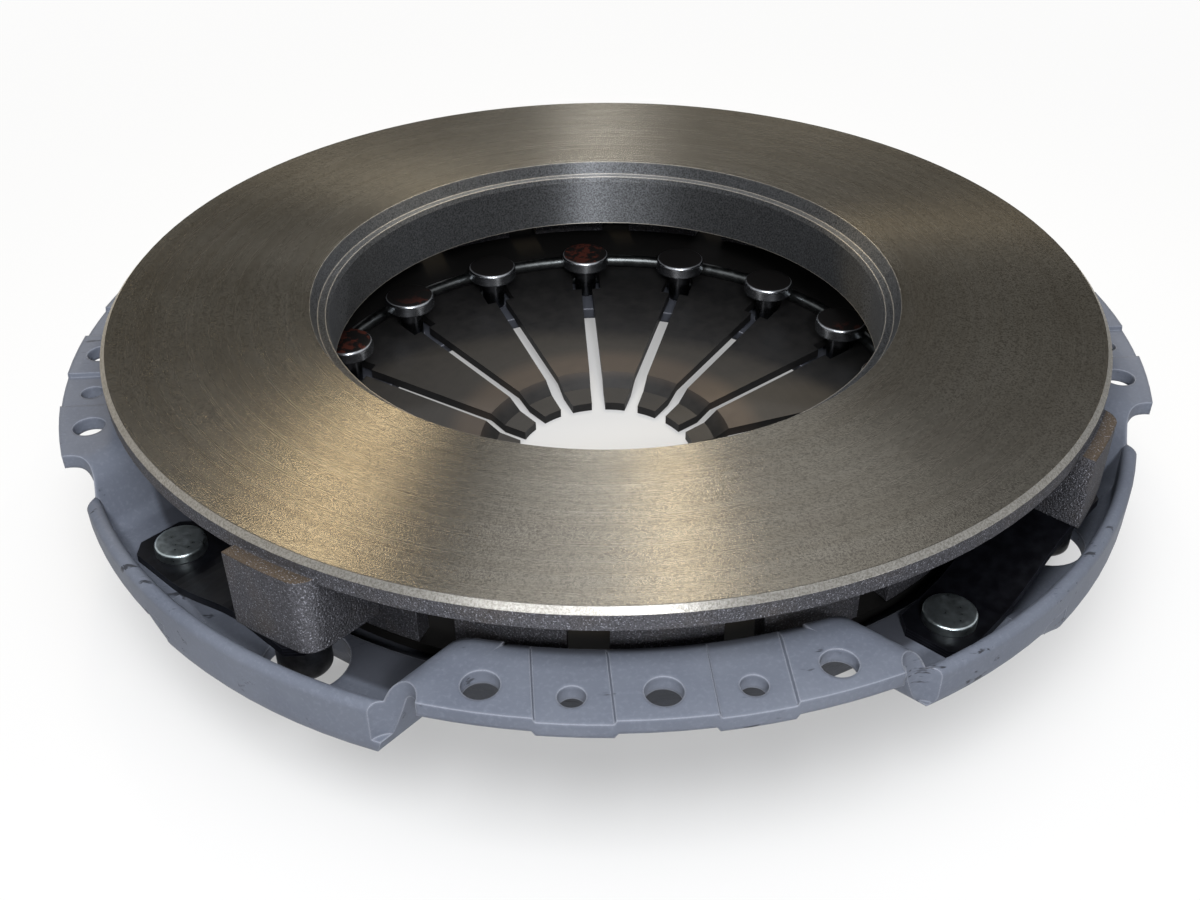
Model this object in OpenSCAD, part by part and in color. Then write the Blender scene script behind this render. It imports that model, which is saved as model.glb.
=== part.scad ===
// Clutch cover assembly of the diaphragm-spring type, lying on its finger tips with the
// friction face up. z = 0 is the mounting plane, where the cover's pads meet the flywheel.
// The axis of the clutch is the z axis.

/* [Friction face] */
// How far inside the edge of the cover's flange the friction face ends
face_inset = 20; // [18:0.5:26]
// Inner diameter of the friction face
face_inner_d = 220; // [212:1:230]
// Bevel along the outer edge of the face
face_bevel = 1.85; // [0.8:0.05:3]

/* [Pressure plate] */
// Thickness of the casting from the face to its back
plate_t = 27; // [24:0.5:30]
// Bore of the casting
bore_d = 208; // [200:1:212]
// Outer diameter of the ledge turned inside the face
ledge_d = 215.6; // [213:0.2:219]
// Depth of that ledge under the face
ledge_depth = 4.9; // [3:0.1:7]
// Depth of the outer rim under the face
rim_t = 7.3; // [6:0.1:10]
// Height of the fulcrum blocks under the back
ridge_h = 24.3; // [22:0.1:28]
// Distance from the rim of the spring in to the middle of the fulcrum blocks
ridge_inset = 3.5; // [2.5:0.5:6]
// Radial width of the fulcrum blocks
ridge_w = 7; // [5:0.5:8]
// Number of fulcrum blocks
ridge_count = 20; // [16:1:24]
// Width of the gaps between the blocks
ridge_gap = 13; // [8:0.5:16]
// Turn of the ring of blocks about the axis
ridge_turn = 2.3; // [-9:0.1:9]

/* [Drive lugs] */
// Distance from the outside of the pocket's wall in to the outer face of a lug
lug_inset = 10; // [8:0.5:12]
// Width of a lug along its strap
lug_w = 29; // [26:0.5:34]
// Depth of the machined ledge on a lug under the friction face
lug_ledge = 5; // [4:0.1:7]
// How far a lug reaches below the back of the casting
lug_drop = 5; // [3:0.5:7]
// Radius of the rounded outer corner of a lug
lug_corner_r = 8; // [4:0.5:10]
// Distance from the inner flank of a lug to its rivet
lug_lead = 11; // [10:0.5:12]

/* [Cover] */
// Thickness of the cover's sheet
sheet_t = 5; // [4:0.1:5.5]
// Outer diameter of the flange
flange_d = 402; // [398:1:410]
// Width of the flange from its edge to the outside of the wall
flange_w = 24; // [22:0.5:26]
// Depth of the cover from the mounting plane to the floor inside
cover_depth = 45.1; // [43:0.1:48]
// How far the wall leans in from the flange to the flat bottom
wall_run = 24; // [22:0.5:26]
// Diameter of the central hole
cover_bore_d = 194; // [192:1:200]
// Inside bend radius of the sheet
bend_r = 4; // [3:0.5:5]
// How far the sections with the small holes lie below the mounting plane
pad_step = 1.6; // [0.8:0.1:2.4]
// Distance of the inner steps from the middle of a pad
step_in = 14.25; // [12:0.25:16]
// Distance of the outer steps from the middle of a pad
step_out = 35.2; // [33:0.2:37]

/* [Flange holes] */
// Distance of all the flange holes from the edge of the flange
hole_edge = 10; // [8:0.5:12]
// Diameter of the fixing holes
bolt_hole_d = 11; // [9:0.5:13]
// Diameter of the locating holes
dowel_hole_d = 8; // [6:0.5:10]
// Angle between neighbouring fixing holes of a pad
bolt_pitch = 15; // [14:0.5:16]
// Angle from the middle of a pad to its locating holes
dowel_angle = 7.5; // [7:0.1:8]

/* [Pockets] */
// Distance from the edge of the flange in to the outside of the wall round a pocket
pocket_inset = 3; // [2:0.5:4]
// Depth of the pocket floor under the mounting plane
pocket_depth = 28.6; // [27:0.1:30]
// Depth of the raised seat of the strap under the mounting plane
seat_depth = 23.5; // [22:0.1:25]
// Place where the seat ends, from the middle of the pocket
seat_end = -23; // [-26:0.5:-20]
// Length of the ramp from the seat down to the floor
ramp_run = 12; // [10:0.5:16]
// Inside bend radius at the ends of a pocket
pocket_bend_r = 6; // [4:0.5:7]
// Depth of the top of the outer wall under the mounting plane
lip_depth = 10; // [8:0.5:13]
// Half width of a pocket at its floor
pocket_half = 66; // [64:0.5:68]
// Slope of the end walls, as run for the whole depth
pocket_run = 9; // [7:0.5:11]
// Radius of the relief notches in the corners of the pads
notch_r = 9; // [7:0.5:10]
// How far the notches lie outside the mouth of a pocket
notch_shift = 4; // [2:0.5:6]
// Radius of the access hole under a lug
access_r = 13.7; // [12:0.1:15]

/* [Drive straps] */
// Thickness of a leaf
leaf_t = 1; // [0.6:0.05:1.2]
// Width of a leaf
strap_w = 23.5; // [20:0.5:24]
// Distance between the two rivets of a strap
strap_pitch = 65; // [62:0.5:67]
// Distance from the outside of the pocket's wall in to the strap's centreline
strap_inset = 25.1; // [24:0.1:27]
// Angle from the middle of a pad to the middle of the strap
strap_angle = 43; // [42:0.1:44]
// How far a leaf reaches past its rivets
strap_tail = 12.7; // [11:0.1:13]
// Chamfer of the leaf's corners
strap_chamfer = 4.3; // [2:0.1:6]
// Diameter of the rivet shanks
strap_rivet_d = 10; // [8:0.5:11]
// Diameter of the rivet heads
strap_head_d = 17; // [15:0.5:18]
// Thickness of the rivet heads
strap_head_t = 3.3; // [2.5:0.1:4]
// Diameter of the closing heads under the cover
strap_tail_d = 15; // [13:0.5:17]
// Length of the retaining head under a lug
lug_head_l = 17; // [12:0.5:18]

/* [Diaphragm spring] */
// Number of fingers
finger_count = 16; // [12:1:18]
// Thickness of the spring
spring_t = 3.6; // [3:0.1:4]
// Cone angle of the relaxed spring
cone_angle = 12.2; // [11:0.1:13]
// Radius of the circle through the finger tips
tip_r = 36.6; // [34:0.2:42]
// Width of the slots
slot_w = 5; // [4:0.1:6]
// Width of the windows round the pivot rivets
window_w = 13; // [12:0.2:14]
// Radius where the windows begin
window_in_r = 105.7; // [103:0.1:107]
// How far the finger tips are set down
tip_set = 3.4; // [2:0.1:4]
// Distance from the tips to the inner edge of that step
step_start = 9; // [7:0.5:11]
// Distance from the tips to the outer edge of that step
step_stop = 15; // [13:0.5:18]

/* [Pivot] */
// Pitch radius of the pivot rivets
pivot_r = 114.3; // [113:0.1:115]
// Diameter of the shank of the pivot rivets
pivot_d = 9.8; // [8.5:0.1:10]
// Diameter of their heads
pivot_head_d = 21.5; // [20.5:0.1:22]
// Thickness of their heads
pivot_head_t = 5.4; // [4.5:0.1:6]
// Diameter of their closing heads under the cover
pivot_tail_d = 16; // [14:0.5:18]
// Thickness of the closing heads
pivot_tail_t = 3.5; // [2.5:0.1:4.5]
// Wire diameter of the two pivot rings
ring_wire_d = 5.4; // [5:0.1:6]

/* [Hidden] */
$fn = 96;

pad_count = 4;
leaf_count = 3;
quarter = 360 / pad_count;
// Clearances: between pieces that rest on each other, round a rivet, and to a moving piece
touch = 0.05;
rivet_fit = 0.05;
air = 0.3;
// Length added to a cutting tool past the surface it cuts
over = 1;
far = 300;

// Radii, each from the one outside it: the spring reaches as far as the flat bottom
flange_r = flange_d / 2;
flange_in_r = flange_r - flange_w;
bottom_r = flange_in_r - wall_run;
hole_r = flange_r - hole_edge;
pocket_r = flange_r - pocket_inset;
strap_r = pocket_r - strap_inset;
lug_r = pocket_r - lug_inset;
face_r = flange_r - face_inset;
rim_r = face_r + face_bevel;
spring_r = bottom_r;
ridge_r = spring_r - ridge_inset;
wall_mid = sheet_t / 2;
bend_mid_r = bend_r + wall_mid;
// Flat steps in the arc of a bend
bend_steps = 8;

// Heights of the pivot: floor of the cover, lower ring, spring, upper ring, rivet head
slope = tan(cone_angle);
spring_dz = spring_t / cos(cone_angle);
ring_r = pivot_r + pivot_d / 2 + air + ring_wire_d / 2;
ring_lift = ring_wire_d / 2 / cos(cone_angle) + touch;
lower_ring_z = touch - cover_depth + ring_wire_d / 2;
spring_under_z = lower_ring_z + ring_lift;
spring_top_z = spring_under_z + spring_dz;
upper_ring_z = spring_top_z + ring_lift;
pivot_head_z = upper_ring_z + ring_wire_d / 2 + touch;
function spring_z(r) = spring_top_z + (r - ring_r) * slope;

// Heights of the pressure plate, which stands on the rim of the spring
ridge_z = spring_z(spring_r) + air;
plate_z = ridge_z + ridge_h;
face_z = plate_z + plate_t;
lug_z = plate_z - lug_drop;
strap_drop = leaf_count * (leaf_t + touch) + touch;
// Depth of the blind hole that holds a rivet in its lug
lug_bore_l = 16;
// Rounding of the edge of the rivet heads
pivot_round = 1.6;
tail_round = 1.2;
strap_round = 0.8;
lug_round = 1.5;

// Directions, and a polyline moved by d to its left
function unit(v) = v / norm(v);
function side(v) = [-v[1], v[0]];
function polar(r, angle) = r * [cos(angle), sin(angle)];
function bearing(v) = atan2(v[1], v[0]);
function reversed(list) = [for (i = [len(list) - 1 : -1 : 0]) list[i]];
function meet(p, u, q, v) = p + u * cross(q - p, v) / cross(u, v);
function moved(path, d) = [
    for (i = [0 : len(path) - 1])
        let (
            a = max(i, 1),
            b = min(i + 1, len(path) - 1),
            u = unit(path[a] - path[a - 1]),
            v = unit(path[b] - path[b - 1])
        )
        abs(cross(u, v)) < 0.001
            ? path[i] + side(u) * d
            : meet(path[i] + side(u) * d, u, path[i] + side(v) * d, v)
];

// One side of a bent sheet: the centreline moved by d, with an arc at every bend
function bent(path, radius, d) = concat(
    [path[0] + side(unit(path[1] - path[0])) * d],
    [
        for (i = [1 : len(path) - 2])
            let (
                u = unit(path[i] - path[i - 1]),
                v = unit(path[i + 1] - path[i]),
                turn = asin(cross(u, v)),
                hand = sign(turn),
                centre = path[i] - u * radius * tan(abs(turn) / 2) + side(u) * radius * hand,
                from = bearing(u) - hand * 90
            )
            for (n = [0 : bend_steps])
                centre + polar(radius - hand * d, from + turn * n / bend_steps)
    ],
    [path[len(path) - 1] + side(unit(path[len(path) - 1] - path[len(path) - 2])) * d]
);

// Section of bent sheet along its centreline
module sheet_section(path, radius, t) {
    polygon(concat(bent(path, radius, t / 2), reversed(bent(path, radius, -t / 2))));
}

// Repeats its children at every pad, or at every pocket
module each_pad(turn = 0) {
    for (k = [0 : pad_count - 1])
        rotate(k * quarter + turn)
            children();
}

module each_pocket() {
    each_pad(quarter / 2)
        children();
}

// A profile across the pocket, drawn over x and z, run out along the pocket's radius.
// The pocket's middle lies along +x of the turned frame, its width along y.
module along_pocket(from, to) {
    translate([to, 0, 0])
        rotate([90, 0, -90])
            linear_extrude(height = to - from)
                mirror([1, 0])
                    children();
}

module ring_solid(r_out, r_in, z_low, z_high) {
    translate([0, 0, z_low])
        difference() {
            cylinder(r = r_out, h = z_high - z_low);
            translate([0, 0, -over])
                cylinder(r = r_in, h = z_high - z_low + 2 * over);
        }
}

// Upper surface of the sheet on a radius through a pad: bottom, wall and flange
bowl_top = [
    [cover_bore_d / 2, -cover_depth],
    [bottom_r, -cover_depth],
    [flange_in_r - sheet_t, 0],
    [flange_r, 0]
];
bowl_mid = moved(bowl_top, -wall_mid);

// Upper surface of the sheet across a pocket: pad, end wall, seat, floor, end wall, pad
seat_drop = pocket_depth - seat_depth;
seat_width = pocket_half + seat_drop * pocket_run / pocket_depth;
mouth_half = pocket_half + pocket_run;
pocket_stub = 14;
ramp_end = seat_end + ramp_run;
ramp_mid = seat_end + ramp_run / 2;
wall_bend_r = pocket_r - sheet_t - bend_r;
pocket_top = [
    [-mouth_half - pocket_stub, 0],
    [-mouth_half, 0],
    [-seat_width, -seat_depth],
    [seat_end, -seat_depth],
    [ramp_end, -pocket_depth],
    [pocket_half, -pocket_depth],
    [mouth_half, 0],
    [mouth_half + pocket_stub, 0]
];
pocket_mid = moved(pocket_top, -wall_mid);
pocket_bend_mid_r = pocket_bend_r + wall_mid;

// Bowl of the cover without its pockets
module bowl() {
    rotate_extrude()
        sheet_section(bowl_mid, bend_mid_r, sheet_t);
}

// Room inside the bowl, up to the middle of its wall
module bowl_room() {
    rotate_extrude()
        polygon(concat(
            [[0, -far]],
            [[bowl_mid[1][0], -far]],
            [bowl_mid[1], bowl_mid[2]],
            [[bowl_mid[2][0], far], [0, far]]
        ));
}

// Everything above the floor of one pocket, out to the ends of its bent strip. On the ramp
// it ends inside the sheet, clear of the ramp's own sloping face.
module pocket_room() {
    last = len(pocket_top) - 1;
    along_pocket(0, far)
        polygon(concat(
            [pocket_top[0] - [0, sheet_t], pocket_top[1] - [over, sheet_t], pocket_top[2]],
            [[seat_end - over, -seat_depth], [seat_end - over, -seat_depth - wall_mid]],
            [[ramp_end + over, -pocket_depth - wall_mid], [ramp_end + over, -pocket_depth]],
            [pocket_top[last - 2]],
            [pocket_top[last - 1] + [over, -sheet_t], pocket_top[last] - [0, sheet_t]],
            [pocket_top[last] + [0, far], pocket_top[0] + [0, far]]
        ));
}

// Slice of a pocket across its width
module pocket_slice(from, to) {
    intersection() {
        children();
        translate([0, from, -far])
            cube([far, to - from, 2 * far]);
    }
}

// Floor and end walls of one pocket, as one bent strip that ends at the outer wall
module pocket_strip(depth) {
    intersection() {
        along_pocket(bottom_r / 2, flange_r)
            sheet_section(pocket_mid, pocket_bend_mid_r, sheet_t);
        rotate_extrude()
            polygon([
                [bottom_r, -far],
                [wall_bend_r, -far],
                [wall_bend_r, -depth],
                [pocket_r - wall_mid, -depth],
                [pocket_r - wall_mid, -sheet_t - pad_step],
                [flange_r, -sheet_t - pad_step],
                [flange_r, sheet_t],
                [bottom_r, sheet_t]
            ]);
    }
}

// Upturned outer wall with a round top, standing on a floor at the given depth
function lip_arc(mid_r) = [
    for (n = [1 : bend_steps - 1])
        [mid_r, -lip_depth - wall_mid] + polar(wall_mid, 180 - n * 180 / bend_steps)
];
module wall_section(depth) {
    mid_r = pocket_r - wall_mid;
    mid_z = -depth - wall_mid;
    path = [[wall_bend_r - sheet_t, mid_z], [mid_r, mid_z], [mid_r, -lip_depth - wall_mid]];
    polygon(concat(
        bent(path, bend_mid_r, wall_mid),
        lip_arc(mid_r),
        reversed(bent(path, bend_mid_r, -wall_mid))
    ));
}

// The same wall without its bend
module lip_section(low) {
    mid_r = pocket_r - wall_mid;
    polygon(concat(
        [[mid_r - wall_mid, low], [mid_r - wall_mid, -lip_depth - wall_mid]],
        lip_arc(mid_r),
        [[mid_r + wall_mid, -lip_depth - wall_mid], [mid_r + wall_mid, low]]
    ));
}

// Wall on one level of a pocket's floor, between the pocket's end wall and the ramp
module level_wall(depth, from, to) {
    under = bent(pocket_mid, pocket_bend_mid_r, -wall_mid);
    last = len(under) - 1;
    pocket_slice(from, to)
        intersection() {
            along_pocket(bottom_r, flange_r)
                polygon(concat(
                    [for (i = [1 : last - 1]) under[i]], [[under[last - 1][0], 0], [under[1][0], 0]]
                ));
            rotate_extrude()
                wall_section(depth);
        }
}

// Outer wall of one pocket: on the seat, down the ramp, and on the floor round the lug
module pocket_wall() {
    level = (seat_depth + pocket_depth) / 2;
    level_wall(seat_depth, -far, seat_end);
    level_wall(pocket_depth, ramp_end, far);
    pocket_slice(seat_end, ramp_end)
        rotate_extrude()
            lip_section(-seat_depth + bend_r);
    pocket_slice(seat_end, ramp_end)
        translate([0, ramp_mid, -level - wall_mid])
            rotate([-atan(seat_drop / ramp_run), 0, 0])
                translate([0, -ramp_mid, level + wall_mid])
                    difference() {
                        rotate_extrude()
                            wall_section(level);
                        translate([-far, -far, -seat_depth + bend_r + over])
                            cube([2 * far, 2 * far, far]);
                    }
}

// Steps of a pad, drawn across it: the sections with the locating holes lie lower
module low_sections(z_low, z_high) {
    for (hand = [-1, 1])
        rotate([90, 0, 90])
            translate([0, 0, flange_in_r - 2 * sheet_t])
                linear_extrude(height = flange_r)
                    polygon([
                        [hand * step_in, z_low],
                        [hand * (step_in - pad_step), z_high],
                        [hand * (step_out + pad_step), z_high],
                        [hand * step_out, z_low]
                    ]);
}

module pad_steps_added() {
    intersection() {
        low_sections(-sheet_t - pad_step, -sheet_t + pad_step / 2);
        ring_solid(flange_r, flange_in_r - sheet_t, -far, 0);
    }
}

module flange_holes() {
    for (angle = [-bolt_pitch, 0, bolt_pitch])
        rotate(angle)
            translate([hole_r, 0, -far / 2])
                cylinder(d = bolt_hole_d, h = far);
    for (angle = [-dowel_angle, dowel_angle])
        rotate(angle)
            translate([hole_r, 0, -far / 2])
                cylinder(d = dowel_hole_d, h = far);
}

// Frame of a strap: x runs outwards along its middle, y along the strap
module at_strap(k) {
    rotate(k * quarter + strap_angle)
        translate([strap_r, 0, 0])
            children();
}

module at_pivots() {
    for (k = [0 : finger_count - 1])
        rotate(k * 360 / finger_count)
            translate([pivot_r, 0, 0])
                children();
}

module relief_notches() {
    out = mouth_half + notch_shift;
    for (hand = [-1, 1])
        translate([sqrt(pow(flange_r + over, 2) - pow(out, 2)), hand * out, -seat_depth])
            cylinder(r = notch_r, h = far);
}

module cover() {
    color("slategray")
        difference() {
            union() {
                difference() {
                    bowl();
                    each_pocket()
                        pocket_room();
                }
                difference() {
                    each_pocket() {
                        pocket_slice(ramp_mid, far)
                            pocket_strip(pocket_depth);
                        pocket_slice(-far, ramp_mid)
                            pocket_strip(seat_depth);
                    }
                    bowl_room();
                }
                each_pocket()
                    pocket_wall();
                each_pad()
                    pad_steps_added();
            }
            each_pad()
                low_sections(-pad_step, 2 * pad_step);
            each_pocket()
                relief_notches();
            each_pad()
                flange_holes();
            for (k = [0 : pad_count - 1]) {
                at_strap(k)
                    translate([0, -strap_pitch / 2, -far])
                        cylinder(d = strap_rivet_d + 2 * rivet_fit, h = far);
                at_strap(k)
                    translate([0, strap_pitch / 2, -far])
                        cylinder(r = access_r, h = far);
            }
            at_pivots()
                translate([0, 0, -far])
                    cylinder(d = pivot_d + 2 * rivet_fit, h = far);
        }
}

// Turned section of the casting, from its bore to its rim. Under the rim a narrow land
// falls by its slope, and the back runs out past the fulcrum blocks.
module plate_section() {
    ledge_r = ledge_d / 2;
    bore_r = bore_d / 2;
    land_w = 7;
    land_slope = 1;
    back_run = 12;
    bore_bevel_h = 2;
    bore_bevel_w = 0.8;
    polygon([
        [face_inner_d / 2, face_z],
        [face_r, face_z],
        [rim_r, face_z - face_bevel],
        [rim_r, face_z - rim_t],
        [rim_r - land_w, face_z - rim_t - land_slope],
        [ridge_r + back_run, plate_z],
        [bore_r, plate_z],
        [bore_r, face_z - ledge_depth - bore_bevel_h],
        [bore_r + bore_bevel_w, face_z - ledge_depth],
        [ledge_r, face_z - ledge_depth]
    ]);
}

// Outline of a lug in the strap's frame, from its root in the casting to the lug circle
module lug_outline() {
    start = strap_pitch / 2 - lug_lead;
    root = 17;
    corner_x = sqrt(pow(lug_r, 2) - pow(start + lug_w - lug_corner_r, 2)) - strap_r - lug_corner_r;
    intersection() {
        union() {
            translate([-root, start])
                square([2 * root, lug_w - lug_corner_r]);
            translate([-root, start])
                square([root + corner_x, lug_w]);
            translate([corner_x, start + lug_w - lug_corner_r])
                circle(r = lug_corner_r);
        }
        translate([-strap_r, 0])
            circle(r = lug_r);
    }
}

module pressure_plate() {
    color("dimgray")
        difference() {
            union() {
                rotate_extrude()
                    plate_section();
                difference() {
                    ring_solid(
                        ridge_r + ridge_w / 2, ridge_r - ridge_w / 2, ridge_z, plate_z + over
                    );
                    for (k = [0 : ridge_count - 1])
                        rotate((k + 0.5) * 360 / ridge_count + ridge_turn)
                            translate([ridge_r - ridge_w, -ridge_gap / 2, ridge_z - over])
                                cube([2 * ridge_w, ridge_gap, ridge_h + over]);
                }
                for (k = [0 : pad_count - 1])
                    at_strap(k)
                        translate([0, 0, lug_z])
                            linear_extrude(height = face_z - lug_ledge - lug_z)
                                lug_outline();
            }
            for (k = [0 : pad_count - 1])
                at_strap(k)
                    translate([0, strap_pitch / 2, lug_z - over])
                        cylinder(d = strap_rivet_d + 2 * rivet_fit, h = lug_bore_l + over);
        }
}

// Cone with a step near the finger tips, cut into fingers
module diaphragm_spring() {
    step_out_r = tip_r + step_stop;
    step_in_r = tip_r + step_start;
    upper = [
        [spring_r, spring_z(spring_r)],
        [step_out_r, spring_z(step_out_r)],
        [step_in_r, spring_z(step_in_r) - tip_set],
        [tip_r, spring_z(tip_r) - tip_set]
    ];
    lower = [for (i = [len(upper) - 1 : -1 : 0]) upper[i] - [0, spring_dz]];
    tip_flare = 0.7;
    color("darkslategray")
        difference() {
            rotate_extrude()
                polygon(concat(upper, lower));
            for (k = [0 : finger_count - 1])
                rotate(k * 360 / finger_count)
                    translate([0, 0, -far]) {
                        linear_extrude(height = far)
                            polygon([
                                [0, -slot_w / 2 - tip_flare],
                                [step_in_r, -slot_w / 2 - tip_flare / 2],
                                [window_in_r, -slot_w / 2],
                                [window_in_r + over, -slot_w / 2],
                                [window_in_r + over, slot_w / 2],
                                [window_in_r, slot_w / 2],
                                [step_in_r, slot_w / 2 + tip_flare / 2],
                                [0, slot_w / 2 + tip_flare]
                            ]);
                        translate([pivot_r, 0, 0])
                            cylinder(d = window_w, h = far);
                        translate([window_in_r, -window_w / 2, 0])
                            cube([pivot_r - window_in_r, window_w, far]);
                    }
        }
}

module wire_ring(z) {
    rotate_extrude()
        translate([ring_r, z])
            circle(d = ring_wire_d);
}

module pivot_ring_upper() {
    color("silver")
        wire_ring(upper_ring_z);
}

module pivot_ring_lower() {
    color("silver")
        wire_ring(lower_ring_z);
}

// Rivet with a flat head whose edge is rounded, drawn from the underside of the head
module rivet_head(d, t, round_r) {
    rotate_extrude() {
        square([d / 2, t - round_r]);
        square([d / 2 - round_r, t]);
        intersection() {
            translate([d / 2 - round_r, t - round_r])
                circle(r = round_r);
            square([d, t]);
        }
    }
}

module pivot_rivets() {
    shank = pivot_head_z + cover_depth + sheet_t;
    color("gray")
        at_pivots() {
            translate([0, 0, pivot_head_z])
                rivet_head(pivot_head_d, pivot_head_t, pivot_round);
            translate([0, 0, pivot_head_z - shank - over / 2])
                cylinder(d = pivot_d, h = shank + over);
            translate([0, 0, -cover_depth - sheet_t - touch])
                mirror([0, 0, 1])
                    rivet_head(pivot_tail_d, pivot_tail_t, tail_round);
        }
}

// Height of the underside of leaf number i at the cover's end and at the lug's end
function leaf_low(i) = touch - seat_depth + i * (leaf_t + touch);
function leaf_high(i) = lug_z - strap_drop + touch + i * (leaf_t + touch);

// A leaf is flat under both rivets and swings from one level to the other between them
module strap_leaf(k, i) {
    flat_end = strap_head_d / 2 + over;
    span = strap_pitch - 2 * flat_end;
    steps = 14;
    low = leaf_low(i);
    rise = leaf_high(i) - low;
    lower = concat(
        [[-strap_pitch / 2 - strap_tail, low]],
        [
            for (n = [0 : steps])
                let (u = n / steps)
                [span * (u - 0.5), low + rise * u * u * (3 - 2 * u)]
        ],
        [[strap_pitch / 2 + strap_tail, low + rise]]
    );
    last = len(lower) - 1;
    upper = [for (n = [last : -1 : 0]) lower[n] + [0, leaf_t]];
    half_l = strap_pitch / 2 + strap_tail;
    half_w = strap_w / 2;
    color("black")
        at_strap(k)
            difference() {
                intersection() {
                    translate([strap_w, 0, 0])
                        rotate([90, 0, -90])
                            linear_extrude(height = 2 * strap_w)
                                mirror([1, 0])
                                    polygon(concat(lower, upper));
                    translate([0, 0, -far / 2])
                        linear_extrude(height = far)
                            polygon([
                                [-half_w, -half_l + strap_chamfer],
                                [-half_w + strap_chamfer, -half_l],
                                [half_w - strap_chamfer, -half_l],
                                [half_w, -half_l + strap_chamfer],
                                [half_w, half_l - strap_chamfer],
                                [half_w - strap_chamfer, half_l],
                                [-half_w + strap_chamfer, half_l],
                                [-half_w, half_l - strap_chamfer]
                            ]);
                }
                for (hand = [-1, 1])
                    translate([0, hand * strap_pitch / 2, -far / 2])
                        cylinder(d = strap_rivet_d + 2 * rivet_fit, h = far);
            }
}

module cover_strap_rivets() {
    head_z = -seat_depth + strap_drop;
    tail_z = -seat_depth - sheet_t - touch;
    color("lightgray")
        for (k = [0 : pad_count - 1])
            at_strap(k)
                translate([0, -strap_pitch / 2, 0]) {
                    translate([0, 0, head_z])
                        rivet_head(strap_head_d, strap_head_t, strap_round);
                    translate([0, 0, tail_z - over / 2])
                        cylinder(d = strap_rivet_d, h = head_z - tail_z + over);
                    translate([0, 0, tail_z])
                        mirror([0, 0, 1])
                            rivet_head(strap_tail_d, strap_head_t, strap_round);
                }
}

module lug_strap_rivets() {
    head_z = lug_z - strap_drop;
    color("lightgray")
        for (k = [0 : pad_count - 1])
            at_strap(k)
                translate([0, strap_pitch / 2, 0]) {
                    translate([0, 0, head_z])
                        mirror([0, 0, 1])
                            rivet_head(strap_head_d, lug_head_l, lug_round);
                    translate([0, 0, head_z - over / 2])
                        cylinder(d = strap_rivet_d, h = strap_drop + lug_bore_l - over);
                }
}

cover();
pressure_plate();
diaphragm_spring();
pivot_ring_upper();
pivot_ring_lower();
pivot_rivets();
cover_strap_rivets();
lug_strap_rivets();
strap_leaf(0, 0);  // strap_1_leaf_1
strap_leaf(0, 1);  // strap_1_leaf_2
strap_leaf(0, 2);  // strap_1_leaf_3
strap_leaf(1, 0);  // strap_2_leaf_1
strap_leaf(1, 1);  // strap_2_leaf_2
strap_leaf(1, 2);  // strap_2_leaf_3
strap_leaf(2, 0);  // strap_3_leaf_1
strap_leaf(2, 1);  // strap_3_leaf_2
strap_leaf(2, 2);  // strap_3_leaf_3
strap_leaf(3, 0);  // strap_4_leaf_1
strap_leaf(3, 1);  // strap_4_leaf_2
strap_leaf(3, 2);  // strap_4_leaf_3
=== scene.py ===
import math

import bpy
from mathutils import Matrix, Vector


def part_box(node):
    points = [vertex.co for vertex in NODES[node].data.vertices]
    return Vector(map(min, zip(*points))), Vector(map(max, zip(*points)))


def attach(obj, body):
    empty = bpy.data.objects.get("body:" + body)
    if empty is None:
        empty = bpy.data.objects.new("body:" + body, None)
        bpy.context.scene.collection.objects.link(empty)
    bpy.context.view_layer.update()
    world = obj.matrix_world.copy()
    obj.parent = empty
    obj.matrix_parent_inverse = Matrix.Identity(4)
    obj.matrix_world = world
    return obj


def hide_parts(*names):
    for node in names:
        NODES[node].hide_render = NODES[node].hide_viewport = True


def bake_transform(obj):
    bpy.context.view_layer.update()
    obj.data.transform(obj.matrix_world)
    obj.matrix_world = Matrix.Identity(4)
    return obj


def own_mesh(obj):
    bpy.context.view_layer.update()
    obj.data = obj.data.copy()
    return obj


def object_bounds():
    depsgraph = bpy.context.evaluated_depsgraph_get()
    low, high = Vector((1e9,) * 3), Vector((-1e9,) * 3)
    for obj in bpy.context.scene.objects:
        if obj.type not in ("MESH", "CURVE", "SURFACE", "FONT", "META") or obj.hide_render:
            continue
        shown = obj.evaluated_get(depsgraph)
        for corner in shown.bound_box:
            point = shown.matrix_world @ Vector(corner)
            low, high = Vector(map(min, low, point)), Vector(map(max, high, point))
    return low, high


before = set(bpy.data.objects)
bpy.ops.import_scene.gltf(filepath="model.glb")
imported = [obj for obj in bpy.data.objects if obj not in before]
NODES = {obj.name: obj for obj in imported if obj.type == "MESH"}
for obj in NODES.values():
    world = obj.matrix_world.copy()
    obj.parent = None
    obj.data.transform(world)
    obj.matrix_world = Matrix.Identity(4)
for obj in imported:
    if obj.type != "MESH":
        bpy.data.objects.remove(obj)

CAD_BOX = [list(c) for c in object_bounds()]
MM = 0.001

# Camera, from the fit to the photograph: position in millimetres and the view's own axes
CAMERA_AT = (-35.93, -436.54, 258.30)
CAMERA_RIGHT = (0.996807, -0.079764, -0.004135)
CAMERA_UP = (0.049935, 0.581983, 0.811666)
CAMERA_FORWARD = (0.062337, 0.809279, -0.584108)
FOCAL_PX = 1306.65
PHOTO_WIDTH_PX = 1200.0
SENSOR_WIDTH = 36.0

# Pressure plate in millimetres: its face, the bevel round it and the ledges on its lugs
FACE_INNER_R = 110.0
FACE_OUTER_R = 181.0
RIM_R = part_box("pressure_plate")[1].x / MM
FACE_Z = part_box("pressure_plate")[1].z / MM
BEVEL_FOOT_Z = FACE_Z - (RIM_R - FACE_OUTER_R)
LUG_LEDGE_Z = FACE_Z - 5.0

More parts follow.
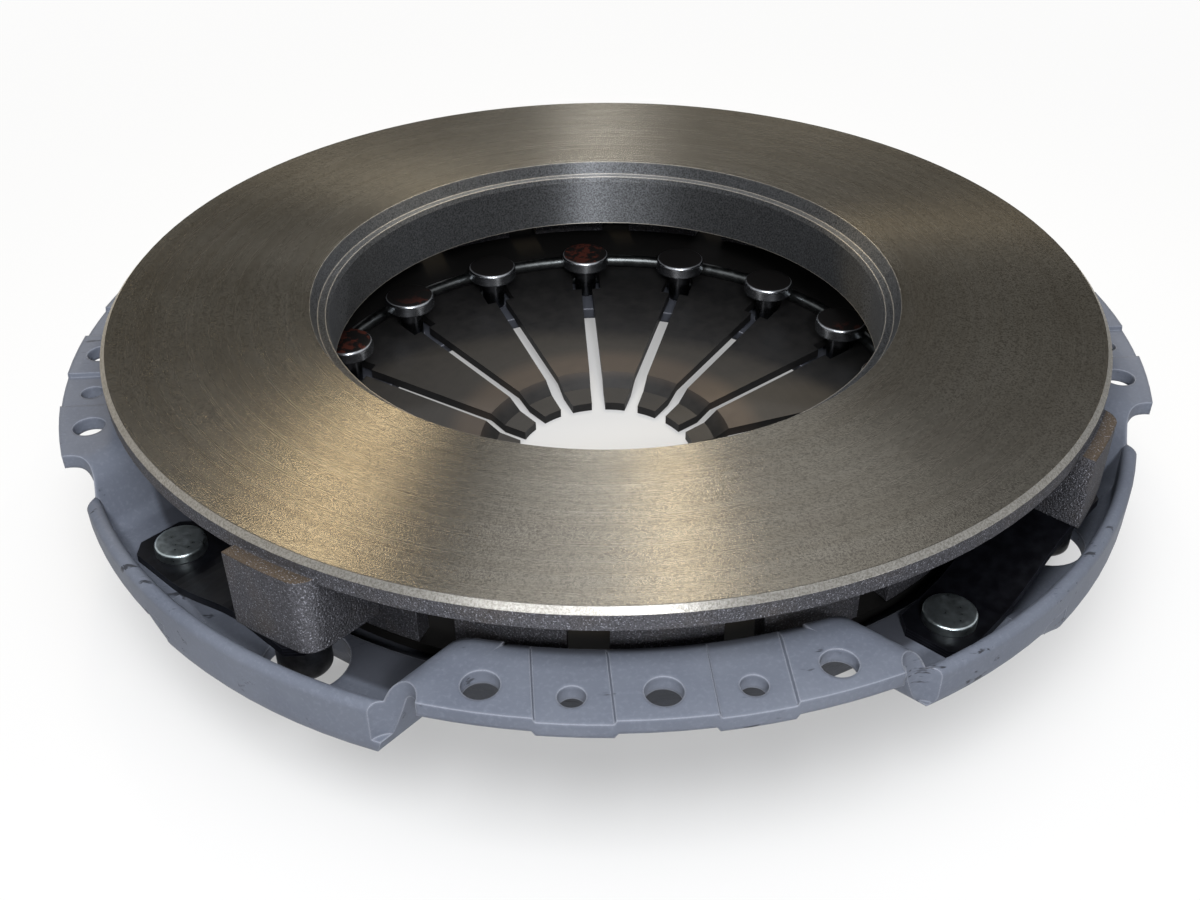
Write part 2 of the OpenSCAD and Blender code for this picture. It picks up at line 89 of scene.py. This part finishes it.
# Cover, pivot rivets and the ring under their heads, in millimetres
FLANGE_INNER_R = 177.0
COVER_BOTTOM_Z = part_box("cover")[0].z / MM
RIVET_TOP_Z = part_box("pivot_rivets")[1].z / MM
RING_TOP_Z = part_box("pivot_ring_upper")[1].z / MM

# Straps: how many there are, and how many leaves each has
STRAP_COUNT = 4
LEAF_COUNT = 3

# Floor, in metres: half its side, its gap under the part, and the distances from the middle of the
# part where it goes from shaded to white, and then on to the full white of the backdrop
FLOOR_HALF = 6.0
FLOOR_GAP = 0.0002
SHADED, WHITE = 0.17, 0.24
WHITE_GROWS, FULL_WHITE = 0.3, 1.2

# Sockets of a Mix node for its two inputs and its result, by its type of data
MIX_SOCKETS = {"RGBA": (6, 7, 2), "FLOAT": (2, 3, 0)}


def rgb(red, green, blue):
    """A colour given as sRGB from 0 to 255, as linear values"""
    def linear(part):
        part /= 255.0
        return part / 12.92 if part <= 0.04045 else ((part + 0.055) / 1.055) ** 2.4
    return (linear(red), linear(green), linear(blue), 1.0)


class Nodes:
    """A node tree and short names for what goes into it"""

    def __init__(self, tree):
        self.tree = tree
        tree.nodes.clear()

    def add(self, kind, **settings):
        node = self.tree.nodes.new(kind)
        for key, value in settings.items():
            setattr(node, key, value)
        return node

    def put(self, node, key, value):
        """Link the input to the value if it is another node's output, or else set it there"""
        if hasattr(value, "links"):
            self.tree.links.new(value, node.inputs[key])
        else:
            node.inputs[key].default_value = value

    def surface(self, shader, output):
        self.put(self.add(output), "Surface", shader)

    def math(self, operation, *values):
        node = self.add("ShaderNodeMath", operation=operation)
        for i, value in enumerate(values):
            self.put(node, i, value)
        return node.outputs[0]

    def times(self, product, *values):
        for value in values:
            product = self.math("MULTIPLY", product, value)
        return product

    def either(self, most, *masks):
        for mask in masks:
            most = self.math("MAXIMUM", most, mask)
        return most

    def rest_of(self, mask):
        return self.math("SUBTRACT", 1.0, mask)

    def span(self, value, lo, hi, to_lo=0.0, to_hi=1.0, smooth=False):
        """Carry lo and hi over to to_lo and to_hi, and what lies outside them to the nearer one"""
        node = self.add("ShaderNodeMapRange", interpolation_type="SMOOTHSTEP" if smooth else "LINEAR")
        for i, v in enumerate((value, lo, hi, to_lo, to_hi)):
            self.put(node, i, v)
        return node.outputs[0]

    def mix_shader(self, share, first, second):
        node = self.add("ShaderNodeMixShader")
        for i, value in enumerate((share, first, second)):
            self.put(node, i, value)
        return node.outputs[0]

    def seen_ray(self):
        """1 for the rays that show the background: the camera's, and those in gloss and glass"""
        ray = self.add("ShaderNodeLightPath").outputs
        return self.either(ray["Is Camera Ray"], ray["Is Glossy Ray"], ray["Is Transmission Ray"])


class Mat(Nodes):
    """A material on one Principled shader. Lengths are in millimetres, and noise scales per metre"""

    def __init__(self, name):
        self.mat = bpy.data.materials.new(name)
        self.mat.use_nodes = True
        super().__init__(self.mat.node_tree)
        self.bsdf = self.add("ShaderNodeBsdfPrincipled")
        self.surface(self.bsdf.outputs["BSDF"], "ShaderNodeOutputMaterial")
        self.coord = self.add("ShaderNodeTexCoord").outputs["Object"]
        split = self.add("ShaderNodeSeparateXYZ")
        self.put(split, 0, self.coord)
        self.x, self.y, self.z = split.outputs

    def set(self, **values):
        for key, value in values.items():
            self.put(self.bsdf, key.replace("_", " "), value)

    def radius(self):
        squares = self.math("ADD", self.times(self.x, self.x), self.times(self.y, self.y))
        return self.math("SQRT", squares)

    def angle(self):
        return self.math("ARCTAN2", self.y, self.x)

    def rings(self, across, along):
        """A space for noise, drawn out along circles: across per metre, along per radian"""
        node = self.add("ShaderNodeCombineXYZ")
        self.put(node, 0, self.times(self.radius(), across))
        self.put(node, 1, self.times(self.angle(), along))
        return node.outputs[0]

    def stretched(self, factors):
        """A space for noise, with its own scale along each axis"""
        node = self.add("ShaderNodeVectorMath", operation="MULTIPLY")
        self.put(node, 0, self.coord)
        self.put(node, 1, factors)
        return node.outputs[0]

    def noise(self, scale, detail, rough, space=None, distortion=0.0):
        node = self.add("ShaderNodeTexNoise")
        self.put(node, "Vector", space or self.coord)
        self.put(node, "Scale", scale)
        self.put(node, "Detail", detail)
        self.put(node, "Roughness", rough)
        self.put(node, "Distortion", distortion)
        return node.outputs[0]

    def pits(self, scale):
        node = self.add("ShaderNodeTexVoronoi")
        self.put(node, "Vector", self.coord)
        self.put(node, "Scale", scale)
        return node.outputs["Distance"]

    def ramp(self, length, start, end, smooth=False):
        """0 up to start and 1 from end on, along a height or a radius, in either direction"""
        return self.span(length, start * MM, end * MM, smooth=smooth)

    def mix(self, share, first, second, kind="RGBA"):
        node = self.add("ShaderNodeMix", data_type=kind)
        in_first, in_second, result = MIX_SOCKETS[kind]
        self.put(node, 0, share)
        self.put(node, in_first, first)
        self.put(node, in_second, second)
        return node.outputs[result]

    def level(self, share, first, second):
        """Mix two plain values"""
        return self.mix(share, first, second, "FLOAT")

    def tint(self, base, colour, share, *masks):
        """The base, with that share of the colour where every mask is 1"""
        return self.mix(self.times(*masks, share), base, colour)

    def bump(self, height, distance, strength, normal=None):
        node = self.add("ShaderNodeBump")
        self.put(node, "Height", height)
        self.put(node, "Distance", distance * MM)
        self.put(node, "Strength", strength)
        if normal is not None:
            self.put(node, "Normal", normal)
        return node.outputs[0]

    def rounded(self, radius, samples=8):
        """The normal with sharp edges rounded by the radius"""
        node = self.add("ShaderNodeBevel", samples=samples)
        self.put(node, "Radius", radius * MM)
        return node.outputs[0]

    def edges(self, radius, lo, hi):
        """1 along sharp edges and 0 on flats, from how far a rounded normal turns away"""
        node = self.add("ShaderNodeVectorMath", operation="DOT_PRODUCT")
        self.put(node, 0, self.rounded(radius, samples=6))
        self.put(node, 1, self.add("ShaderNodeNewGeometry").outputs["Normal"])
        return self.span(self.rest_of(node.outputs["Value"]), lo, hi)


def turned_colour(m, grooves, hole, bevel_only):
    """Fine and broad grooves with specks and clouds, greyer in the hole with a painted highlight along its
    edges, and lighter on the bevel
    """
    broad = m.noise(1.0, 2.0, 0.5, m.rings(260.0, 0.5))
    speck = m.noise(1500.0, 2.0, 0.7)
    cloud = m.noise(14.0, 3.0, 0.6)
    mottle = m.span(speck, 0.35, 0.65)
    colour = m.mix(m.span(grooves, 0.3, 0.7), rgb(87, 85, 80), rgb(96, 93, 87))
    colour = m.tint(colour, rgb(76, 72, 65), 0.3, m.span(broad, 0.35, 0.7))
    colour = m.tint(colour, rgb(54, 52, 49), 0.6, m.span(speck, 0.47, 0.62))
    colour = m.tint(colour, rgb(64, 60, 54), 0.3, m.span(cloud, 0.45, 0.75))
    colour = m.mix(hole, colour, m.mix(mottle, rgb(58, 59, 61), rgb(96, 98, 101)))
    # painted highlight: the edges in the hole are made lighter
    colour = m.tint(colour, rgb(206, 200, 190), 0.7, hole, m.edges(0.9, 0.01, 0.2))
    bright = m.mix(mottle, rgb(146, 144, 138), rgb(190, 188, 184))
    return m.tint(colour, bright, 0.85, bevel_only)


def cast_colour(m, grain, lug_ledge):
    """Grey casting with brown clouds and painted glints, and a browner ledge on each lug"""
    cloud = m.noise(60.0, 3.0, 0.6)
    painted_glint = m.noise(2200.0, 0.0, 0.5)
    colour = m.mix(m.span(grain, 0.35, 0.7), rgb(60, 60, 63), rgb(88, 88, 94))
    colour = m.tint(colour, rgb(80, 73, 66), 0.4, m.span(cloud, 0.5, 0.75))
    colour = m.tint(colour, rgb(84, 72, 58), 0.75, lug_ledge)
    # painted glints: bright specks on the casting
    return m.tint(colour, rgb(176, 178, 188), 0.4, m.span(painted_glint, 0.66, 0.74))


def cast_plate_material():
    """Turned face and bevel, bored hole and raw casting, told apart by height and radius"""
    m = Mat("cast_plate")
    r = m.radius()
    top = m.ramp(m.z, FACE_Z - 0.15, FACE_Z - 0.05)
    bore = m.ramp(r, FACE_INNER_R + 0.1, FACE_INNER_R - 0.1)
    bevel = m.times(
        m.ramp(m.z, BEVEL_FOOT_Z - 0.05, BEVEL_FOOT_Z + 0.05),
        m.ramp(r, FACE_OUTER_R - 0.1, FACE_OUTER_R + 0.1),
    )
    lug_ledge = m.times(
        m.ramp(m.z, LUG_LEDGE_Z - 0.3, LUG_LEDGE_Z - 0.2),
        m.ramp(r, RIM_R + 0.65, RIM_R + 0.95),
    )
    turned = m.either(top, bore, bevel)
    below_top = m.rest_of(top)
    hole = m.either(bore, m.times(below_top, m.ramp(r, FACE_INNER_R + 1.5, FACE_INNER_R + 1.2)))
    bevel_only = m.times(bevel, below_top)
    grooves = m.noise(1.0, 3.0, 0.75, m.rings(2400.0, 0.8))
    grain = m.noise(1500.0, 3.0, 0.6)
    turned_rough = m.level(m.either(hole, bevel_only), m.span(grooves, 0.2, 0.8, 0.26, 0.28), 0.5)
    cast, machined = cast_colour(m, grain, lug_ledge), turned_colour(m, grooves, hole, bevel_only)
    m.set(
        Base_Color=m.mix(turned, cast, machined),
        Metallic=m.level(turned, 0.5, 1.0),
        Roughness=m.level(turned, 0.58, turned_rough),
        Specular_Tint=(0.3, 0.3, 0.3, 1.0),
        Anisotropic=1.0,
        Anisotropic_Rotation=0.25,
        Tangent=m.add("ShaderNodeTangent", direction_type="RADIAL", axis="Z").outputs[0],
    )
    cast_height = m.math("ADD", grain, m.times(m.pits(1400.0), 0.5))
    grit = m.bump(m.noise(1700.0, 1.0, 0.5), 0.045, 1.0, m.rounded(0.5))
    m.set(Normal=m.bump(m.level(turned, cast_height, m.times(grooves, 0.003)), 0.5, 0.8, grit))
    return m.mat


def cover_material():
    """Sheet steel with a thin dull coat: painted shade inside the pan, painted highlight and wear along its
    edges, scuffed in places
    """
    m = Mat("cover_sheet")
    cloud = m.noise(22.0, 4.0, 0.6)
    fine = m.noise(700.0, 3.0, 0.6)
    inside = m.ramp(m.radius(), FLANGE_INNER_R - 0.5, FLANGE_INNER_R - 3.5, smooth=True)
    above_bottom = m.ramp(m.z, COVER_BOTTOM_Z - 0.5, COVER_BOTTOM_Z + 0.1)
    scuff = m.span(m.noise(1.0, 3.0, 0.7, m.stretched((70.0, 260.0, 260.0))), 0.62, 0.68)
    scuffed_place = m.span(m.noise(38.0, 1.0, 0.5), 0.52, 0.6)
    colour = m.mix(m.span(cloud, 0.3, 0.75), rgb(93, 98, 110), rgb(109, 114, 125))
    colour = m.tint(colour, rgb(124, 129, 142), 0.35, m.span(fine, 0.5, 0.75))
    # painted shade: darker inside the pan, above its bottom
    colour = m.tint(colour, rgb(48, 49, 54), 0.8, inside, above_bottom)
    # painted highlight and wear: lighter along the rounded edges
    colour = m.tint(colour, rgb(196, 199, 210), 0.45, m.edges(1.1, 0.03, 0.35))
    colour = m.tint(colour, rgb(38, 38, 42), 0.85, scuff, scuffed_place)
    m.set(
        Base_Color=colour,
        Metallic=0.0,
        Roughness=m.span(fine, 0.3, 0.8, 0.42, 0.58),
        Specular_IOR_Level=0.08,
        Normal=m.bump(fine, 0.2, 0.25, m.rounded(1.8)),
    )
    return m.mat


def spring_material():
    """Dark sheet with streaks round the axis, a lighter brown painted highlight at the bend of the tips, and
    black painted shade towards the rim
    """
    m = Mat("spring_steel")
    r = m.radius()
    spots = m.noise(220.0, 4.0, 0.65)
    streak = m.noise(1.0, 3.0, 0.6, m.rings(900.0, 3.0))
    rim = m.ramp(r, 124.0, 132.0, smooth=True)
    colour = m.mix(m.span(spots, 0.3, 0.75), rgb(29, 29, 30), rgb(40, 39, 39))
    colour = m.tint(colour, rgb(46, 45, 45), 0.25, m.span(streak, 0.5, 0.75))
    # painted highlight: lighter brown at the bend of the tips
    colour = m.tint(
        colour, rgb(72, 63, 56), 0.4,
        m.ramp(r, 68.0, 58.0, smooth=True),
        m.ramp(r, 48.0, 53.0, smooth=True),
    )
    # painted shade: near black towards the rim, under the plate
    colour = m.tint(colour, rgb(18, 17, 16), 0.85, rim)
    m.set(
        Base_Color=colour,
        Metallic=0.7,
        Roughness=m.level(rim, m.span(spots, 0.3, 0.75, 0.46, 0.56), 0.7),
        Normal=m.bump(streak, 0.03, 0.2),
    )
    return m.mat


def steel_material(name, colour, other, rough, scale=300.0, bump=0.03):
    """Bare steel in two close colours"""
    m = Mat(name)
    fine = m.noise(scale, 3.0, 0.6)
    broad = m.noise(scale * 0.12, 3.0, 0.6)
    mixed = m.mix(m.span(fine, 0.35, 0.7), colour, other)
    m.set(
        Base_Color=m.tint(mixed, other, 0.4, m.span(broad, 0.5, 0.75)),
        Metallic=1.0,
        Roughness=m.span(fine, 0.3, 0.75, rough * 0.8, rough * 1.2),
        Normal=m.bump(fine, bump, 0.3, m.rounded(0.6)),
    )
    return m.mat


def pivot_rivet_material():
    """Bright flanks, black tops with rust stains on some, and painted shade under the heads"""
    m = Mat("pivot_rivet")
    spots = m.noise(420.0, 4.0, 0.65)
    top = m.ramp(m.z, RIVET_TOP_Z - 0.6, RIVET_TOP_Z - 0.2)
    under = m.ramp(m.z, RING_TOP_Z + 0.15, RING_TOP_Z - 0.45)
    stain = m.span(m.noise(190.0, 4.0, 0.65, distortion=0.4), 0.52, 0.58)
    stained_place = m.span(m.noise(14.0, 0.0, 0.5), 0.42, 0.52)
    colour = m.mix(m.span(spots, 0.35, 0.7), rgb(140, 143, 148), rgb(168, 171, 177))
    colour = m.mix(top, colour, rgb(22, 21, 21))
    colour = m.tint(colour, rgb(92, 46, 36), 0.5, top, stain, stained_place)
    # painted shade: dark under the heads
    colour = m.tint(colour, rgb(62, 63, 66), 0.85, under)
    m.set(
        Base_Color=colour,
        Metallic=m.level(top, 1.0, 0.0),
        Roughness=m.level(top, 0.27, 0.6),
        Specular_IOR_Level=0.03,
        Normal=m.bump(spots, 0.04, 0.4, m.rounded(0.8)),
    )
    return m.mat


def strap_material():
    """Black spring leaves, worn a little along their edges"""
    m = Mat("strap_black")
    spots = m.noise(260.0, 3.0, 0.6)
    colour = m.mix(m.span(spots, 0.4, 0.7), rgb(6, 6, 9), rgb(14, 15, 19))
    m.set(
        Base_Color=m.tint(colour, rgb(70, 72, 84), 0.35, m.edges(0.4, 0.05, 0.5)),
        Metallic=0.0,
        Roughness=m.span(spots, 0.3, 0.75, 0.3, 0.42),
        Specular_IOR_Level=0.12,
    )
    return m.mat


def assign(name, material):
    mesh = NODES[name].data
    mesh.materials.clear()
    mesh.materials.append(material)
    for face in mesh.polygons:
        face.material_index = 0


def add_object(name, data):
    made = bpy.data.objects.new(name, data)
    bpy.context.scene.collection.objects.link(made)
    return made


def make_camera():
    data = bpy.data.cameras.new("camera")
    data.sensor_width = SENSOR_WIDTH
    data.lens = FOCAL_PX / PHOTO_WIDTH_PX * SENSOR_WIDTH
    data.clip_start = 0.01
    data.clip_end = 50.0
    camera = add_object("camera", data)
    right, up, forward = Vector(CAMERA_RIGHT), Vector(CAMERA_UP), Vector(CAMERA_FORWARD)
    place = Matrix((right, up, -forward)).transposed().to_4x4()
    place.translation = Vector(CAMERA_AT) * MM
    camera.matrix_world = place
    bpy.context.scene.camera = camera


def make_spring():
    """A copy in place of the node, carried by the cover"""
    assign("diaphragm_spring", spring_material())
    spring = add_object("spring", NODES["diaphragm_spring"].data.copy())
    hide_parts("diaphragm_spring")
    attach(spring, "cover")
    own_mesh(spring)


def make_leaves():
    """Copies in place of the nodes, in the strap material"""
    material = strap_material()
    for k in range(STRAP_COUNT):
        for i in range(LEAF_COUNT):
            node = f"strap_{k + 1}_leaf_{i + 1}"
            assign(node, material)
            leaf = add_object(f"leaf_{k + 1}_{i + 1}", NODES[node].data.copy())
            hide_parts(node)
            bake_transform(leaf)


def floor_material():
    """Plain white away from the part, and under it a floor that still takes shade, with painted shade in its
    darker colour there
    """
    material = bpy.data.materials.new("floor")
    material.use_nodes = True
    n = Nodes(material.node_tree)
    length = n.add("ShaderNodeVectorMath", operation="LENGTH")
    n.put(length, 0, n.add("ShaderNodeTexCoord").outputs["Object"])
    away = length.outputs["Value"]
    diffuse = n.add("ShaderNodeBsdfDiffuse")
    # painted shade: the floor's colour is darker under the part
    n.put(diffuse, "Color", n.span(away, SHADED, WHITE, 0.46, 0.8))
    glow = n.add("ShaderNodeEmission")
    n.put(glow, "Strength", 1.0)
    whiteness = n.math(
        "ADD",
        n.span(away, SHADED, WHITE, 0.35, 0.9, smooth=True),
        n.span(away, WHITE_GROWS, FULL_WHITE, 0.0, 0.1),
    )
    share = n.times(n.seen_ray(), whiteness)
    n.surface(n.mix_shader(share, diffuse.outputs[0], glow.outputs[0]), "ShaderNodeOutputMaterial")
    return material


def make_floor():
    z = CAD_BOX[0][2] - FLOOR_GAP
    corners = [(x * FLOOR_HALF, y * FLOOR_HALF, z) for x, y in ((-1, -1), (1, -1), (1, 1), (-1, 1))]
    mesh = bpy.data.meshes.new("floor")
    mesh.from_pydata(corners, [], [(0, 1, 2, 3)])
    mesh.materials.append(floor_material())
    add_object("floor", mesh)


def make_world():
    """A weak cool light from all sides, and white to look at"""
    world = bpy.data.worlds.new("world")
    world.use_nodes = True
    bpy.context.scene.world = world
    n = Nodes(world.node_tree)

    def background(colour, strength):
        node = n.add("ShaderNodeBackground")
        n.put(node, "Color", (*colour, 1.0))
        n.put(node, "Strength", strength)
        return node.outputs[0]

    weak, white = background((0.9, 0.95, 1.0), 0.15), background((1.0, 1.0, 1.0), 1.0)
    n.surface(n.mix_shader(n.seen_ray(), weak, white), "ShaderNodeOutputWorld")


def lamp(name, azimuth, elevation, distance, size, power, colour):
    """A square lamp that points at the origin: degrees, metres and watts"""
    data = bpy.data.lights.new(name, "AREA")
    data.size = size
    data.energy = power
    data.color = colour
    a, e = math.radians(azimuth), math.radians(elevation)
    at = Vector((math.cos(e) * math.cos(a), math.cos(e) * math.sin(a), math.sin(e))) * distance
    made = add_object(name, data)
    made.location = at
    made.rotation_euler = (-at).to_track_quat("-Z", "Y").to_euler()


def make_lamps():
    """Three lamps for the wedges of light on the turned face, one for their soft foot, two near the camera"""
    lamp("lamp_back", 85.5, 37.6, 0.5, 0.025, 0.2, (1.0, 0.99, 0.97))
    lamp("lamp_left", 107, 42, 1.82, 0.164, 6.2, (1.0, 0.80, 0.50))
    lamp("lamp_over", 74.5, 54, 0.49, 0.044, 0.55, (1.0, 0.86, 0.62))
    lamp("soft_over", 62.9, 69.1, 0.4, 0.32, 0.9, (1.0, 0.99, 0.97))
    lamp("lamp_camera", -87, 33, 1.2, 0.12, 8, (0.97, 0.98, 1.0))
    lamp("soft_near", -102, 50, 0.5, 0.25, 1.9, (0.98, 0.99, 1.0))


make_camera()

assign("pressure_plate", cast_plate_material())
assign("cover", cover_material())
make_spring()
ring_steel = steel_material("bright_wire", rgb(74, 77, 78), rgb(94, 97, 98), 0.34)
zinc = steel_material("zinc_rivet", rgb(158, 168, 170), rgb(176, 186, 190), 0.34, scale=500.0, bump=0.01)
assign("pivot_ring_upper", ring_steel)
assign("pivot_ring_lower", ring_steel)
assign("pivot_rivets", pivot_rivet_material())
assign("cover_strap_rivets", zinc)
assign("lug_strap_rivets", steel_material("lug_rivet", rgb(60, 60, 62), rgb(86, 86, 88), 0.4))
make_leaves()

make_floor()
make_world()
make_lamps()
bpy.context.scene.view_settings.view_transform = "Standard"

bpy.context.view_layer.update()
